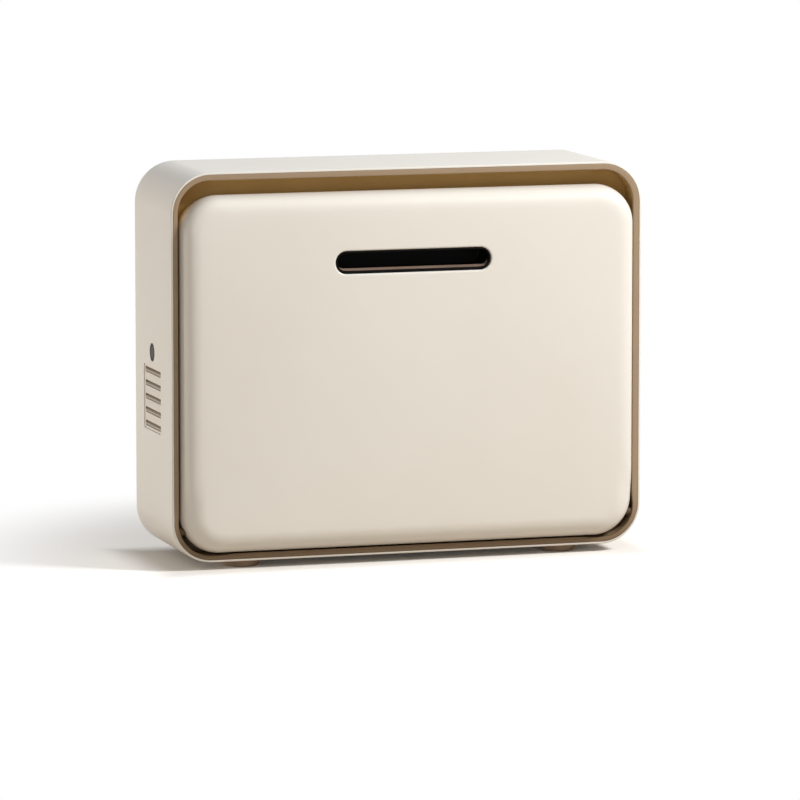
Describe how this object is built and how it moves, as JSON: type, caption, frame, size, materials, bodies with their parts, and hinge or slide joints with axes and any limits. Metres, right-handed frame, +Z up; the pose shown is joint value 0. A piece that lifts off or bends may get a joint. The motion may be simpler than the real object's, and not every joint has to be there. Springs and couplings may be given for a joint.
{
  "type": "uv sterilizer",
  "caption": "Slim table-top UV sterilizer: rounded cream cabinet with a champagne trim ring, a padded-looking drop-down door with a finger slot, a side button and vent, and a lamp-lit chamber.",
  "frame": {"origin": "middle of the footprint, at the underside of the feet", "axes": "+X to the right along the width, +Y to the back, +Z up; the door faces -Y"},
  "size_m": [0.3, 0.0966, 0.2425],
  "materials": {
    "cream_shell": "satin moulded",
    "champagne_trim": "satin metallic coat",
    "dark_gloss": "gloss",
    "dark_matte": "fine texture",
    "bright_liner": "bright rolled",
    "steel_sheet": "brushed",
    "screw_steel": "plated",
    "chrome_wire": "polished",
    "lamp_glass": "clear quartz",
    "white_plastic": "moulded",
    "soft_rubber": "matte",
    "seal_rubber": "silicone",
    "board_laminate": "solder mask",
    "board_parts": "moulded",
    "inlet_brass": "plain"
  },
  "bodies": {
    "cabinet": {"outer_sleeve": "cream_shell", "rear_cover": "cream_shell", "side_vent": "cream_shell", "front_ring": "champagne_trim", "mouth_flange": "champagne_trim", "button_bezel": "dark_matte", "power_inlet": "dark_matte", "fan_frame": "dark_matte", "heater_duct": "dark_matte", "tact_switch": "dark_matte", "hinge_bush_left": "dark_matte", "hinge_bush_right": "dark_matte", "liner_floor": "bright_liner", "liner_sides": "bright_liner", "liner_ceiling": "bright_liner", "liner_back": "bright_liner", "lamp_reflector": "bright_liner", "heater_block": "bright_liner", "tube_end_caps": "bright_liner", "strike_plates": "steel_sheet", "thermal_cutout": "steel_sheet", "liner_screws": "screw_steel", "rear_cover_screws": "screw_steel", "fan_screws": "screw_steel", "board_screws": "screw_steel", "wire_rack": "chrome_wire", "lamp_guard": "chrome_wire", "uv_tube": "lamp_glass", "lamp_holder_left": "white_plastic", "lamp_holder_right": "white_plastic", "lamp_ballast": "white_plastic", "door_sensor": "white_plastic", "board_connector": "white_plastic", "foot_front_left": "soft_rubber", "foot_front_right": "soft_rubber", "foot_rear_left": "soft_rubber", "foot_rear_right": "soft_rubber", "door_gasket": "seal_rubber", "control_board": "board_laminate", "button_board": "board_laminate", "board_transformer": "board_parts", "board_relay": "board_parts", "board_capacitors": "board_parts", "inlet_pins": "inlet_brass"},
    "door": {"door_shell": "cream_shell", "door_inner_panel": "steel_sheet", "handle_cup": "dark_gloss", "panel_screws": "screw_steel", "door_magnets": "chrome_wire", "hinge_pin_left": "steel_sheet", "hinge_pin_right": "steel_sheet"},
    "power_button": {"power_button": "dark_matte", "switch_plunger": "dark_matte"},
    "fan_rotor": {"fan_rotor": "dark_matte"}
  },
  "joints": [
    {"name": "door_hinge", "type": "hinge", "parent": "cabinet", "child": "door", "pos_m": [0, -0.03425, 0.02425], "axis": [1, 0, 0], "range_deg": [0, 90]},
    {"name": "button_press", "type": "slide", "parent": "cabinet", "child": "power_button", "axis": [1, 0, 0], "range_m": [0, 0.001], "stiffness_N_per_m": 800},
    {"name": "fan_spin", "type": "hinge", "parent": "cabinet", "child": "fan_rotor", "pos_m": [0, 0.03885, 0.079], "axis": [0, 1, 0], "continuous": true}
  ]
}
